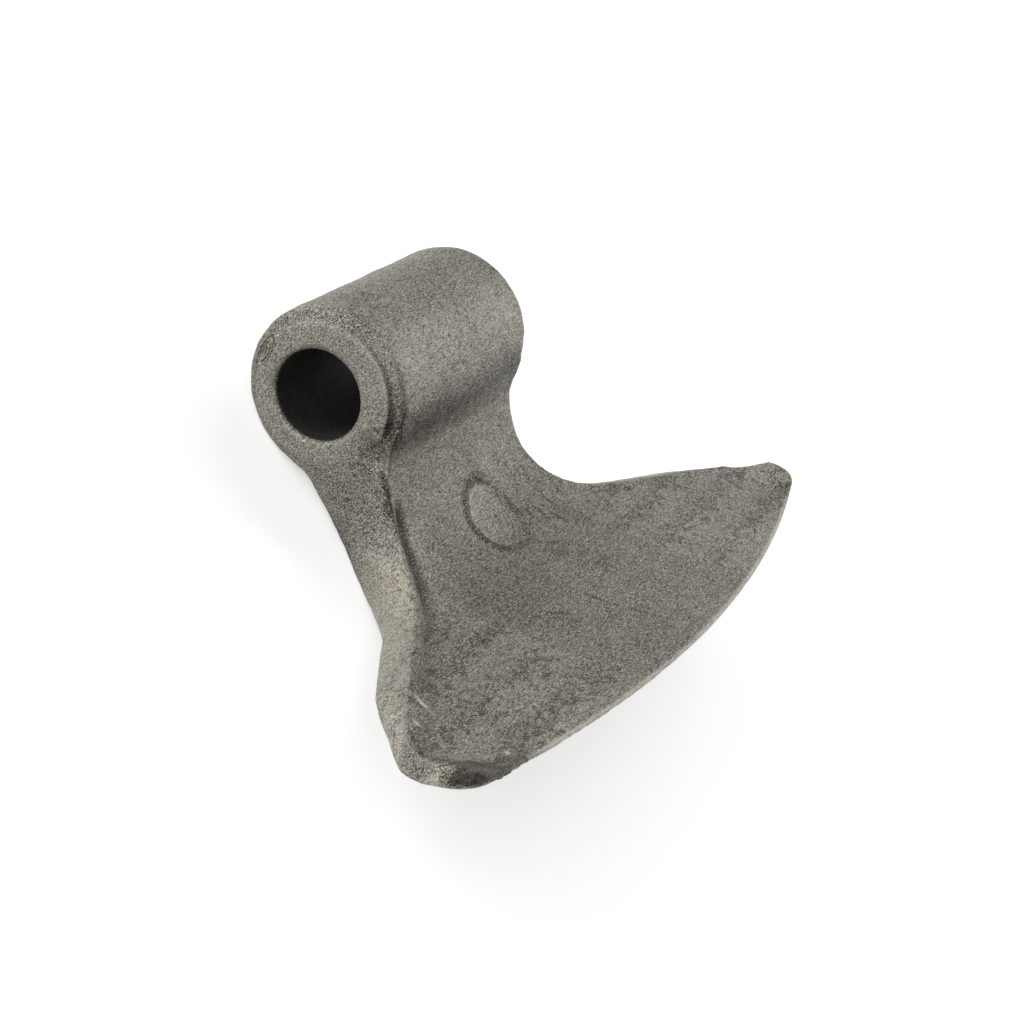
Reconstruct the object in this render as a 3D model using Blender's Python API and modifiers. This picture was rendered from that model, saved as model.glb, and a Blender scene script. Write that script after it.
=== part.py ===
"""Forged hammer blade of a flail mulcher.

One steel forging: a round boss with a through bore carries a short neck, and the
neck curves forward and flares into a wide blade with an arched cutting edge.

The design frame has x along the bore, y from the cutting side (minus) to the back
(plus) and z from the blade (minus) up to the boss, with its origin on the bore.
lay() turns that frame as the hammer comes to rest: on its back, carried by the boss
and by the rounded knuckle behind the blade, with the face of the blade up.

The face of the blade is described by (x, s): s is the length along the side
profile, from the boss down to the edge.  Depths are measured from the face into
the steel.
"""
import math

import bpy
from mathutils import Vector

MM = 0.001

# boss and bore
BOSS_LENGTH = 66.4 * MM                 # over the two hub faces
BOSS_RADIUS = 19.3 * MM
BOSS_SHIFT = (-1.2 * MM, -0.35 * MM)    # y, z: the steel is thicker in front
BORE_RADIUS = 10.25 * MM
BORE_CHAMFER = 0.9 * MM
HUB_RADIUS = 16.4 * MM                  # flat round face at each end
HUB_PROUD = 1.3 * MM
HUB_EDGE = 0.7 * MM
SHOULDER_DROP = 1.7 * MM
SHOULDER_RUN = 3.6 * MM

# side profile
HOLLOW_RADIUS = 28.0 * MM               # concave front between boss and blade
HOLLOW_Y = -0.4 * MM                    # deepest point of the hollow
BOSS_OVERLAP = 1.3 * MM
FACE_ANGLE = math.radians(43)           # blade face, forward from the vertical
BACK_ANGLE = math.radians(51)           # blade back, forward from the vertical
NECK_BACK_Y = 15.0 * MM
KNUCKLE_RADIUS = 30.0 * MM
TIP_THICKNESS = 2.8 * MM
NECK_HIDDEN_ANGLE = math.radians(32)    # above this turn of the hollow the boss hides the neck
NECK_HIDDEN_THICKNESS = 16.0 * MM
TIP_RISE = 1.6 * MM                     # the face turns forward at the edge
TIP_RISE_RUN = 31.6 * MM

# front outline
NECK_HALF = 31.7 * MM
NECK_HALF_TOP = 31.0 * MM
NECK_TOP_RUN = 9.0 * MM
FLARE_ANGLE = math.radians(24.7)        # below the bore's direction
FLARE_RADIUS = 31.0 * MM
FLARE_MEET_S = 33.0 * MM                # where the neck and flare lines would meet
BLADE_HALF = 97.9 * MM
CORNER_RADIUS = 9.5 * MM
EDGE_RADIUS = 386.0 * MM

# corners turned forward; END lengths are measured in from the end of the blade
CURL = 3.0 * MM
CURL_END = 12.9 * MM
CURL_RUN = 11.5 * MM
CURL_OF_BACK = 0.6                      # the back follows the curl this far

# dished face inside a rim
DISH = 1.0 * MM
DISH_EDGE_RUN = 14.0 * MM               # the dish runs out towards the cutting edge
RIM_WIDTH = 4.2 * MM
RIM_START_S = 14.0 * MM
RIM_END = 23.9 * MM                     # the rim stops here along the edge
RIM_FADE = 10.0 * MM

# side band, from the rim to the back
BAND_NECK = 0.6 * MM
BAND_FLARE = 6.4 * MM
BAND_CORNER = 1.2 * MM
BAND_START_S = 19.0 * MM                # the band starts to spread below the neck
BAND_RUN = 36.0 * MM
BAND_END = 29.4 * MM                    # and narrows again towards the corner
BAND_END_RUN = 27.4 * MM
BACK_ROUND = 2.4 * MM
CORNER_ROUND = 7.0 * MM
CORNER_ROUND_END = 19.6 * MM
CORNER_ROUND_RUN = 17.6 * MM
EDGE_ROUND = 0.4 * MM
BAND_STEPS = 5

# cutting edge
EDGE_THICKNESS = 0.8 * MM
EDGE_GRIND = 9.0 * MM
EDGE_END = 16.9 * MM                    # the edge is sharp up to here
EDGE_FADE = 14.0 * MM

# round pad sunk in the face
PAD_X = 5.7 * MM
PAD_S = 32.0 * MM
PAD_RADIUS = 9.2 * MM
PAD_DEPTH = 0.6 * MM
PLUG_LENGTH = 12.0 * MM
PLUG_END = 2.0 * MM                     # below the dished face

HOLLOW = Vector((HOLLOW_Y - HOLLOW_RADIUS,
                 BOSS_SHIFT[1] - math.sqrt((BOSS_RADIUS + HOLLOW_RADIUS - BOSS_OVERLAP) ** 2
                                           - (HOLLOW_Y - HOLLOW_RADIUS - BOSS_SHIFT[0]) ** 2)))
START_ANGLE = math.atan2(-HOLLOW.y, -HOLLOW.x)
BEND_S = (START_ANGLE + FACE_ANGLE) * HOLLOW_RADIUS
CORNER = Vector((BLADE_HALF - CORNER_RADIUS, 0.0))
CORNER.y = (FLARE_MEET_S + (CORNER.x - NECK_HALF) * math.tan(FLARE_ANGLE)
            + CORNER_RADIUS / math.cos(FLARE_ANGLE))
EDGE_CENTRE_S = CORNER.y - math.sqrt((EDGE_RADIUS - CORNER_RADIUS) ** 2 - CORNER.x ** 2)
TIP_S = EDGE_CENTRE_S + EDGE_RADIUS


def smooth(t):
    t = min(max(t, 0.0), 1.0)
    return t * t * (3.0 - 2.0 * t)


def clear_scene():
    for item in list(bpy.data.objects):
        bpy.data.objects.remove(item, do_unlink=True)


# Front outline

def outline():
    """Half outline of the face as (x, s): down the neck, out along the flare, round
    the corner and back along the edge to the middle, with the index of the point
    halfway round the corner."""
    turn = math.pi / 2 - FLARE_ANGLE
    neck_end = FLARE_MEET_S - FLARE_RADIUS * math.tan(turn / 2)
    pts = []
    for i in range(5):
        s = neck_end * i / 5
        x = NECK_HALF_TOP + (NECK_HALF - NECK_HALF_TOP) * smooth(s / NECK_TOP_RUN)
        pts.append(Vector((x, s)))
    centre = Vector((NECK_HALF + FLARE_RADIUS, neck_end))
    for i in range(10):
        a = turn * i / 9
        pts.append(centre + FLARE_RADIUS * Vector((-math.cos(a), math.sin(a))))

    # the corner's circle touches the flare line and the edge's circle from inside
    edge_tilt = math.asin(CORNER.x / (EDGE_RADIUS - CORNER_RADIUS))
    first, last = FLARE_ANGLE - math.pi / 2, math.pi / 2 - edge_tilt
    flare_start = pts[-1].copy()
    flare_end = CORNER + CORNER_RADIUS * Vector((math.cos(first), math.sin(first)))
    for i in range(1, 6):
        pts.append(flare_start.lerp(flare_end, i / 6))
    halfway = len(pts) + 4
    for i in range(9):
        a = first + (last - first) * i / 8
        pts.append(CORNER + CORNER_RADIUS * Vector((math.cos(a), math.sin(a))))
    for i in range(1, 15):
        a = edge_tilt * (1.0 - i / 14)
        pts.append(Vector((EDGE_RADIUS * math.sin(a), EDGE_CENTRE_S + EDGE_RADIUS * math.cos(a))))
    return pts, halfway


def edge_line(x):
    """Length s at which the arched edge lies."""
    return EDGE_CENTRE_S + math.sqrt(EDGE_RADIUS ** 2 - min(abs(x), BLADE_HALF) ** 2)


def from_end(x):
    """Distance in from the end of the blade."""
    return BLADE_HALF - abs(x)


def blunt(x):
    """0 along the sharp length of the edge, 1 at the corners."""
    return smooth((EDGE_END - from_end(x)) / EDGE_FADE)


def band_width(p, below_corner):
    """How far the side band spreads outside the rim at a point of the outline."""
    if below_corner:
        return BAND_CORNER * blunt(p.x)
    width = BAND_NECK + (BAND_FLARE - BAND_NECK) * smooth((p.y - BAND_START_S) / BAND_RUN)
    return width + (BAND_CORNER - width) * smooth((BAND_END - from_end(p.x)) / BAND_END_RUN)


def back_round(p, below_corner):
    """Radius of the rounded edge between the band and the back."""
    if below_corner:
        return max(CORNER_ROUND * blunt(p.x), EDGE_ROUND)
    share = smooth((CORNER_ROUND_END - from_end(p.x)) / CORNER_ROUND_RUN)
    return BACK_ROUND + (CORNER_ROUND - BACK_ROUND) * share


def rim_share(p, below_corner):
    """How much of the rim there is at a point of the outline."""
    if below_corner:
        return smooth((RIM_END - from_end(p.x)) / RIM_FADE)
    return smooth((p.y - RIM_START_S) / RIM_FADE)


# Side profile

def front_point(s):
    """Point of the side profile at length s, and the direction into the steel."""
    if s <= BEND_S:
        a = START_ANGLE - s / HOLLOW_RADIUS
        into = Vector((math.cos(a), math.sin(a)))
        return HOLLOW + HOLLOW_RADIUS * into, into
    into = Vector((math.cos(FACE_ANGLE), -math.sin(FACE_ANGLE)))
    down = Vector((-math.sin(FACE_ANGLE), -math.cos(FACE_ANGLE)))
    return HOLLOW + HOLLOW_RADIUS * into + (s - BEND_S) * down, into


TIP, TIP_INTO = front_point(TIP_S)
BACK_OUT = Vector((math.cos(BACK_ANGLE), -math.sin(BACK_ANGLE)))
BACK_DOWN = Vector((-math.sin(BACK_ANGLE), -math.cos(BACK_ANGLE)))
BACK_LEVEL = (TIP + TIP_THICKNESS * TIP_INTO).dot(BACK_OUT)
KNUCKLE = Vector((NECK_BACK_Y - KNUCKLE_RADIUS, 0.0))
KNUCKLE.y = (BACK_LEVEL - KNUCKLE_RADIUS - KNUCKLE.x * BACK_OUT.x) / BACK_OUT.y


def thickness(s):
    """Steel behind the profile at length s, up to the neck's back, the rounded
    knuckle or the flat back of the blade, whichever the section meets."""
    p, into = front_point(s)
    to_neck = (NECK_BACK_Y - p.x) / into.x
    hidden_from = math.sin(NECK_HIDDEN_ANGLE)
    hidden = (into.y - hidden_from) / (math.sin(START_ANGLE) - hidden_from)
    if hidden > 0.0:
        return to_neck + (NECK_HIDDEN_THICKNESS - to_neck) * min(hidden, 1.0)
    if (p + to_neck * into).y >= KNUCKLE.y:
        return to_neck
    to_back = (BACK_LEVEL - p.dot(BACK_OUT)) / into.dot(BACK_OUT)
    if (p + to_back * into - KNUCKLE).dot(BACK_DOWN) >= 0.0:
        return to_back
    d = p - KNUCKLE
    b = d.dot(into)
    return math.sqrt(b * b - d.length_squared + KNUCKLE_RADIUS ** 2) - b


def curl(x, s):
    """How far a corner is turned forward."""
    down = smooth((s - CORNER.y + CORNER_RADIUS) / CURL_RUN)
    return CURL * smooth((CURL_END - from_end(x)) / CURL_RUN) * down


def tip_rise(s):
    return TIP_RISE * max((s - TIP_S) / TIP_RISE_RUN + 1.0, 0.0) ** 2


def back_depth(p):
    """Depth of the back, with the ground flat behind the sharp length."""
    full = thickness(p.y) + (1.0 - CURL_OF_BACK) * curl(p.x, p.y)
    left = max((edge_line(p.x) - p.y) / EDGE_GRIND, 0.0)
    if left >= 1.0:
        return full
    sharp = EDGE_THICKNESS - tip_rise(p.y)
    ground = sharp + (full - sharp) * left
    return ground + (full - ground) * blunt(p.x)


# From the design frame to the part's frame

BOSS_CENTRE = Vector(BOSS_SHIFT)
BETWEEN = BOSS_CENTRE - KNUCKLE
DOWN_ANGLE = (math.atan2(BETWEEN.y, BETWEEN.x)
              - math.acos((KNUCKLE_RADIUS - BOSS_RADIUS) / BETWEEN.length))
DOWN = Vector((math.cos(DOWN_ANGLE), math.sin(DOWN_ANGLE)))
ALONG = Vector((DOWN.y, -DOWN.x))       # on the floor, from the boss to the blade
FLOOR = DOWN.dot(BOSS_CENTRE) + BOSS_RADIUS
BOSS_END = ALONG.dot(BOSS_CENTRE) - BOSS_RADIUS
BLADE_END = ALONG.dot(TIP + (EDGE_THICKNESS - TIP_RISE) * TIP_INTO)
MIDDLE = (BOSS_END + BLADE_END) / 2


def lay(x, y, z):
    """The boss and the knuckle touch z = 0 and the part is centred over the origin."""
    q = Vector((y, z))
    return Vector((-x, ALONG.dot(q) - MIDDLE, FLOOR - DOWN.dot(q)))


def place(x, s, depth):
    p, into = front_point(s)
    q = p + (depth - curl(x, s)) * into
    return lay(x, q.x, q.y)


# Blade

def patch(side, bottom):
    """Rows and columns of (x, s) between the middle line, the side and the edge."""
    rows, cols = len(side), len(bottom)
    run = bottom[0].y - side[-1].y
    grid = []
    for r in range(rows):
        v = r / (rows - 1)
        middle = Vector((0.0, side[r].y + run * (side[r].y / side[-1].y) ** 2))
        line = []
        for c in range(cols):
            u = bottom[c].x / bottom[-1].x
            bow = bottom[c] - bottom[0].lerp(bottom[-1], u)
            line.append(middle.lerp(side[r], u) + bow * v)
        grid.append(line)
    return grid


def spread(pts, halfway, amount):
    """The outline moved outwards by amount(point, below_corner)."""
    moved = []
    for i, p in enumerate(pts):
        d = (pts[min(i + 1, len(pts) - 1)] - pts[max(i - 1, 0)]).normalized()
        out = Vector((d.y, -d.x)) if i < len(pts) - 1 else Vector((0.0, 1.0))
        moved.append(p + out * amount(p, i > halfway))
    moved[0].y = 0.0
    moved[-1].x = 0.0
    return moved


def build_blade():
    rim, halfway = outline()
    outer = spread(rim, halfway, band_width)
    back = spread(rim, halfway, lambda p, low: band_width(p, low) - back_round(p, low))
    shares = [rim_share(p, i > halfway) for i, p in enumerate(rim)]
    front_grid = patch(rim[:halfway + 1], rim[halfway:][::-1])
    back_grid = patch(back[:halfway + 1], back[halfway:][::-1])
    rows, cols = len(front_grid), len(front_grid[0])

    def dish(p):
        """Depth of the face inside the rim."""
        i = min(range(len(rim)), key=lambda k: (rim[k] - p).length_squared)
        fade = smooth((edge_line(p.x) - p.y) / DISH_EDGE_RUN)
        share = shares[i] + (1.0 - shares[i]) * (i > halfway)
        return DISH * share * fade * smooth((rim[i] - p).length / RIM_WIDTH)

    def address(i):
        """Row and column of point i of the outline."""
        return (i, cols - 1) if i <= halfway else (rows - 1, cols - 1 - (i - halfway))

    verts, faces, index = [], [], {}

    def add(key, co):
        index[key] = len(verts)
        verts.append(tuple(co))

    for r in range(rows):
        for c in range(cols):
            p, q = front_grid[r][c], back_grid[r][c]
            add(("front", r, c), place(p.x, p.y, dish(p) - tip_rise(p.y)))
            add(("back", r, c), place(q.x, q.y, back_depth(q)))
    for i, p in enumerate(rim):
        r, c = address(i)
        q = back_grid[r][c]
        top, deep = -tip_rise(p.y), back_depth(q)
        for level in range(1, BAND_STEPS - 1):
            t = level / (BAND_STEPS - 1)
            bulge = min(math.sin(math.pi * min(t, 0.5)), 1.0)
            tuck = max(2.0 * t - 1.0, 0.0) ** 2
            out = p.lerp(outer[i], bulge).lerp(back[i], tuck)
            depth = top + (deep - top) * (0.92 * t + 0.08 * t * t)
            add(("band", level, i), place(out.x, out.y, depth))

    def band(level, i):
        if level == 0:
            return index[("front",) + address(i)]
        if level == BAND_STEPS - 1:
            return index[("back",) + address(i)]
        return index[("band", level, i)]

    for r in range(rows - 1):
        for c in range(cols - 1):
            ring = [(r, c), (r + 1, c), (r + 1, c + 1), (r, c + 1)]
            faces.append([index[("front",) + k] for k in ring])
            faces.append([index[("back",) + k] for k in reversed(ring)])
    for level in range(BAND_STEPS - 1):
        for i in range(len(rim) - 1):
            faces.append([band(level, i), band(level, i + 1), band(level + 1, i + 1), band(level + 1, i)])
    # flat top of the neck, inside the boss
    faces.append([index[("front", 0, c)] for c in range(cols)]
                 + [band(level, 0) for level in range(1, BAND_STEPS - 1)]
                 + [index[("back", 0, c)] for c in reversed(range(cols))])

    mesh = bpy.data.meshes.new("blade_half")
    mesh.from_pydata(verts, [], faces)
    blade = bpy.data.objects.new("hammer_blade", mesh)
    mirror = blade.modifiers.new("other_half", "MIRROR")
    mirror.use_axis = (True, False, False)
    mirror.use_clip = True
    mirror.merge_threshold = 0.00001
    return blade


# Boss, bore and pad

def build_boss():
    half = BOSS_LENGTH / 2
    root = half - HUB_PROUD
    low = BOSS_RADIUS - SHOULDER_DROP
    profile = [(half, 0.0), (half, HUB_RADIUS - HUB_EDGE),
               (half - 0.3 * HUB_EDGE, HUB_RADIUS - 0.3 * HUB_EDGE),
               (half - HUB_EDGE, HUB_RADIUS), (root, HUB_RADIUS + 0.1 * MM)]
    for i in range(7):
        a = math.pi / 2 * i / 6
        profile.append((root - SHOULDER_RUN * (1 - math.cos(a)), low + SHOULDER_DROP * math.sin(a)))
    profile += [(-x, r) for x, r in reversed(profile)]
    mesh = bpy.data.meshes.new("boss_profile")
    mesh.from_pydata([(x, 0.0, r) for x, r in profile],
                     [(i, i + 1) for i in range(len(profile) - 1)], [])
    boss = bpy.data.objects.new("boss", mesh)
    boss.location = lay(0.0, *BOSS_SHIFT)
    turning = boss.modifiers.new("turned", "SCREW")
    turning.axis = "X"
    turning.angle = 2 * math.pi
    turning.steps = 72
    turning.render_steps = 72
    turning.use_merge_vertices = True
    turning.merge_threshold = 0.00001
    return boss


def build_bore():
    """Cylinder with a cone at each mouth, turned as one profile."""
    half = BOSS_LENGTH / 2
    past = 3 * MM
    wide = BORE_RADIUS + BORE_CHAMFER
    profile = [(half + past, 0.0), (half + past, wide + past), (half - BORE_CHAMFER, BORE_RADIUS)]
    profile += [(-x, r) for x, r in reversed(profile)]
    mesh = bpy.data.meshes.new("bore_profile")
    mesh.from_pydata([(x, 0.0, r) for x, r in profile],
                     [(i, i + 1) for i in range(len(profile) - 1)], [])
    bore = bpy.data.objects.new("bore", mesh)
    bore.location = lay(0.0, 0.0, 0.0)
    turning = bore.modifiers.new("turned", "SCREW")
    turning.axis = "X"
    turning.angle = 2 * math.pi
    turning.steps = 64
    turning.render_steps = 64
    turning.use_merge_vertices = True
    turning.merge_threshold = 0.00001
    return bore


def build_pad_cutter(collection):
    """Round plug whose end follows the hollow, a little below the dished face."""
    p, into = front_point(PAD_S)
    tilt = math.atan2(-ALONG.dot(into), -DOWN.dot(into))
    middle = p + (DISH + PLUG_END - PLUG_LENGTH / 2) * into
    bpy.ops.mesh.primitive_cylinder_add(vertices=48, radius=PAD_RADIUS, depth=PLUG_LENGTH,
                                        location=lay(PAD_X, middle.x, middle.y),
                                        rotation=(tilt, 0.0, 0.0))
    plug = bpy.context.object
    plug.name = "pad_plug"
    bpy.ops.mesh.primitive_cylinder_add(vertices=160, radius=HOLLOW_RADIUS + DISH + PAD_DEPTH,
                                        depth=4 * PAD_RADIUS,
                                        location=lay(PAD_X, HOLLOW.x, HOLLOW.y),
                                        rotation=(0.0, math.pi / 2, 0.0))
    limit = bpy.context.object
    limit.name = "pad_floor"
    for item in (plug, limit):
        for old in list(item.users_collection):
            old.objects.unlink(item)
        collection.objects.link(item)
    combine(plug, limit, "INTERSECT")
    return plug


def combine(target, tool, operation):
    mod = target.modifiers.new(tool.name, "BOOLEAN")
    mod.operation = operation
    mod.solver = "EXACT"
    mod.object = tool
    tool.hide_render = True
    tool.display_type = "WIRE"


def forged_steel():
    mat = bpy.data.materials.new("forged_steel")
    mat.use_nodes = True
    bsdf = mat.node_tree.nodes["Principled BSDF"]
    bsdf.inputs["Base Color"].default_value = (0.178, 0.171, 0.148, 1.0)
    bsdf.inputs["Metallic"].default_value = 0.6
    bsdf.inputs["Roughness"].default_value = 0.5
    return mat


def main():
    clear_scene()
    parts = bpy.data.collections.new("mulcher_hammer_blade")
    tools = bpy.data.collections.new("hammer_cutters")
    bpy.context.scene.collection.children.link(parts)
    bpy.context.scene.collection.children.link(tools)

    hammer = build_blade()
    parts.objects.link(hammer)
    boss = build_boss()
    bore = build_bore()
    tools.objects.link(boss)
    tools.objects.link(bore)
    pad = build_pad_cutter(tools)
    combine(hammer, boss, "UNION")
    combine(hammer, bore, "DIFFERENCE")
    combine(hammer, pad, "DIFFERENCE")

    hammer.data.materials.append(forged_steel())
    hammer.data.shade_smooth()
    hammer.data.set_sharp_from_angle(angle=math.radians(32))


main()
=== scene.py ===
# %% [markdown]
# # A forged mulcher hammer in Blender
# A mulcher hammer is one lump of forged steel that swings on a pin in a rotor and breaks up brush.
# A round boss takes the pin, a short neck leads down from it, and the neck bends forward and
# flares into a wide blade with a rim, two turned-up corners and an arched cutting edge. Such a
# part is usually hammered from a hot bar between two dies. Then its flash is sheared off, the
# bore is drilled, the edge is ground, and the skin is blasted with shot.
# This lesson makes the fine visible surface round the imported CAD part, gives it that skin and
# photographs it. The sizes are those of the CAD part, in metres.

# %% The frame and its box
import math

import bpy
import numpy as np
from mathutils import Matrix, Vector


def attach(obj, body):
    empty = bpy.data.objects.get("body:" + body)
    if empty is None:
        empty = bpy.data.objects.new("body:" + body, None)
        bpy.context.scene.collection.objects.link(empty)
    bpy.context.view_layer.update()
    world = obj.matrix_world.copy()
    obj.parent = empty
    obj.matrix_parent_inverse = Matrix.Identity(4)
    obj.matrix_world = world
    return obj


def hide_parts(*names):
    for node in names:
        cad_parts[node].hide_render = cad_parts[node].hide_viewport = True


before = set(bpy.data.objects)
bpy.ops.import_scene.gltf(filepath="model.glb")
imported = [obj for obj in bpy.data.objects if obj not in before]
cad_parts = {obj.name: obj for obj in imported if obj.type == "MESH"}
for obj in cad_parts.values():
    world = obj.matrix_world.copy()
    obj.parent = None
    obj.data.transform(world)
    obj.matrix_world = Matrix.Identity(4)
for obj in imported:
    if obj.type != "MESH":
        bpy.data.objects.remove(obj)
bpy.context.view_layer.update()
MM = 0.001

# %% [markdown]
# ## Driving sizes
# Everything hangs on the side profile. Seen along the bore, the front of the hammer is an arc,
# the hollow, and then a straight line, the face of the blade. The steel lies behind that line.
# The boss is a circle on top of it, the back of the neck is straight, and a rounded knuckle leads
# to the flat back of the blade. Such a profile could also be a free curve through traced points.
# Circles and straight lines with named sizes were chosen, because that is how dies are drawn, and
# because a size can then be changed without drawing the curve again.
# The frame used for the shape has x along the bore, y from the front to the back and z up to the
# boss, with its origin on the bore. The letter s stands for the length along the face line.

# %% Boss, bore and side profile
BOSS_LENGTH = 66.4 * MM
BOSS_RADIUS = 19.3 * MM
BOSS_AT = (-1.2 * MM, -0.35 * MM)
BOSS_END_ROUND = 2.6 * MM
BORE_RADIUS = 10.25 * MM
BORE_CHAMFER = 0.9 * MM
HUB_RADIUS = 16.4 * MM
HUB_PROUD = 1.3 * MM
HUB_END_ROUND = 0.7 * MM
HOLLOW_RADIUS = 28.0 * MM
HOLLOW_Y = -0.4 * MM
BOSS_OVERLAP = 1.3 * MM
FACE_ANGLE = math.radians(43)
BACK_ANGLE = math.radians(51)
NECK_BACK_Y = 15.0 * MM
KNUCKLE_RADIUS = 30.0 * MM
TIP_THICKNESS = 2.8 * MM
TIP_RISE = 1.6 * MM
TIP_RISE_START = 58.0 * MM
print("Boss in mm:", round(BOSS_LENGTH / MM, 1), "long,", round(2 * BOSS_RADIUS / MM, 1), "across")

# %% Front outline and corners
NECK_HALF = 31.7 * MM
NECK_HALF_TOP = 31.0 * MM
NECK_TOP_RUN = 9.0 * MM
FLARE_ANGLE = math.radians(24.7)
FLARE_RADIUS = 31.0 * MM
FLARE_MEET_S = 33.0 * MM
BLADE_HALF = 97.9 * MM
CORNER_RADIUS = 9.5 * MM
EDGE_RADIUS = 386.0 * MM
CURL = 3.0 * MM
CURL_X = 85.0 * MM
CURL_S = 60.0 * MM
CURL_RUN = 11.5 * MM
CURL_OF_BACK = 0.6
print("Blade width in mm:", round(2 * BLADE_HALF / MM, 1), "before the band at its sides")

# %% Dish, rim, side band, edge and pad
DISH = 1.0 * MM
DISH_EDGE_RUN = 14.0 * MM
RIM_WIDTH = 4.2 * MM
RIM_START_S = 14.0 * MM
RIM_FADE = 10.0 * MM
BAND_NECK = 0.6 * MM
BAND_FLARE = 6.4 * MM
BAND_CORNER = 1.2 * MM
BAND_START_S = 19.0 * MM
BAND_RUN = 36.0 * MM
BAND_END = 0.70               # the next four are shares of the blade's half width
BAND_END_RUN = 0.28
CORNER_ROUND_END = 0.80
CORNER_ROUND_RUN = 0.18
BACK_ROUND = 2.4 * MM
CORNER_ROUND = 7.0 * MM
LEAST_ROUND = 0.06            # share of the corner's rounding that the sharp edge keeps
EDGE_THICKNESS = 0.8 * MM
EDGE_GRIND = 9.0 * MM
EDGE_HALF = 81.0 * MM
EDGE_FADE = 14.0 * MM
PAD_X = 5.7 * MM
PAD_S = 32.0 * MM
PAD_RADIUS = 9.2 * MM
PAD_DEPTH = 0.6 * MM
PAD_WALL = 1.0 * MM
print("Cutting edge in mm:", round(2 * EDGE_HALF / MM, 1), "long,", round(EDGE_THICKNESS / MM, 1), "thick")

# %% [markdown]
# The photograph shows more than the plain CAD part has: a steeper rim with a gutter at its foot
# beside the neck, a groove where the hub's tool ran beside the boss, a shallow lap of folded steel
# below the hub, and a far corner that is turned up a little less. They are real forms that catch
# the light, so they are made in the surface and not only painted.

# %% Details that only the visible surface has
STEEP_WIDTH = 1.9 * MM        # the steep part of the slope inside the rim
STEEP_SHARE = 0.65            # of the slope's height
GUTTER_DEPTH = 0.8 * MM
GUTTER_AT = 2.6 * MM          # in from the outline
GUTTER_HALF_WIDTH = 2.2 * MM
GUTTER_START_S, GUTTER_START_RUN = 16.0 * MM, 5.0 * MM
GUTTER_END_S, GUTTER_END_RUN = 62.0 * MM, 22.0 * MM
GUTTER_SIDE_RUN = 20.0 * MM   # over which it fades across the middle of the face
FAR_CURL = 0.85               # share of the turn-up at the corner away from the camera
CORNER_WALL = 8.0 * MM        # from the end of the blade, where its edge is a plain wall
GROOVE_RADIUS = 17.4 * MM     # about the boss
GROOVE_INSET = 0.5 * MM
GROOVE_HALF_WIDTH = 1.0 * MM
GROOVE_FROM = math.radians(5)
GROOVE_TO = math.radians(140)
GROOVE_FADE = math.radians(25)
LAP_Y, LAP_Z = -17.0 * MM, 21.3 * MM   # on the floor
LAP_FLATNESS = 1.8
LAP_RADIUS = 10.0 * MM
LAP_DEPTH = 0.7 * MM
print("Lap and gutter in mm:", round(LAP_DEPTH / MM, 1), "and", round(GUTTER_DEPTH / MM, 1), "deep")

# %% Roundings where two shapes meet
BOSS_FILLET = 2.5 * MM
HUB_FILLET = 0.6 * MM
FACE_ROUND = 0.3 * MM
SIDE_ROUND = 0.9 * MM
GROOVE_ROUND = 0.4 * MM
LAP_ROUND = 1.6 * MM
BORE_ROUND = 0.5 * MM
LEAST_THICKNESS = 0.2 * MM
print("Fillet under the boss in mm:", round(BOSS_FILLET / MM, 1))

# %% [markdown]
# ## Small helpers for whole arrays
# The shape is worked out as arrays of numbers and never point by point. Three helpers do most of
# the work: an ease from 0 to 1, and a minimum and a maximum that round the corner where two
# shapes meet. A plain minimum would leave a sharp seam, which no forging has, because hot steel
# doesn't fill a sharp corner. The rounded minimum is what gives a forging its fillets.

# %% Ease and rounded joins
def ease(t):
    """0 below 0, 1 above 1, and 3 t squared less 2 t cubed between them."""
    t = np.clip(t, 0.0, 1.0)
    return t * t * (3.0 - 2.0 * t)


def join(a, b, radius):
    """Rounded minimum: the smaller value, less a quarter of the radius where both are equal."""
    near = np.maximum(radius - np.abs(a - b), 0.0) / radius
    return np.minimum(a, b) - near * near * radius / 4.0


def meet(a, b, radius):
    """Rounded maximum, for the part that two shapes share."""
    return -join(-a, -b, radius)


print("Ease at a quarter, a half and three quarters:", ease(np.array((0.25, 0.5, 0.75))))

# %% [markdown]
# ## The side profile
# The hollow is an arc that runs a little way into the boss, and the face leaves it in a straight
# line. Both are one map from a length s along the face to a point and to the direction that leads
# from there into the steel. The cutting edge is a wide arc about a centre far up the middle line,
# placed so that the round corners touch both it and the flare.

# %% The side profile as a map
BOSS = np.array(BOSS_AT)
HOLLOW = np.array((HOLLOW_Y - HOLLOW_RADIUS,
                   BOSS[1] - math.sqrt((BOSS_RADIUS + HOLLOW_RADIUS - BOSS_OVERLAP) ** 2
                                       - (HOLLOW_Y - HOLLOW_RADIUS - BOSS[0]) ** 2)))
START_ANGLE = math.atan2(-HOLLOW[1], -HOLLOW[0])
BEND_S = (START_ANGLE + FACE_ANGLE) * HOLLOW_RADIUS
FACE_DOWN = np.array((-math.sin(FACE_ANGLE), -math.cos(FACE_ANGLE)))
CORNER_X = BLADE_HALF - CORNER_RADIUS
CORNER_S = (FLARE_MEET_S + (CORNER_X - NECK_HALF) * math.tan(FLARE_ANGLE)
            + CORNER_RADIUS / math.cos(FLARE_ANGLE))
EDGE_CENTRE_S = CORNER_S - math.sqrt((EDGE_RADIUS - CORNER_RADIUS) ** 2 - CORNER_X ** 2)


def profile(s):
    """Points of the face line at lengths s, and the directions from there into the steel: round
    the hollow's centre up to the bend, and straight on after it."""
    a = START_ANGLE - np.minimum(s, BEND_S) / HOLLOW_RADIUS
    into = np.stack((np.cos(a), np.sin(a)), -1)
    straight = np.maximum(s - BEND_S, 0.0)[..., None]
    return HOLLOW + HOLLOW_RADIUS * into + straight * FACE_DOWN, into


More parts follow.
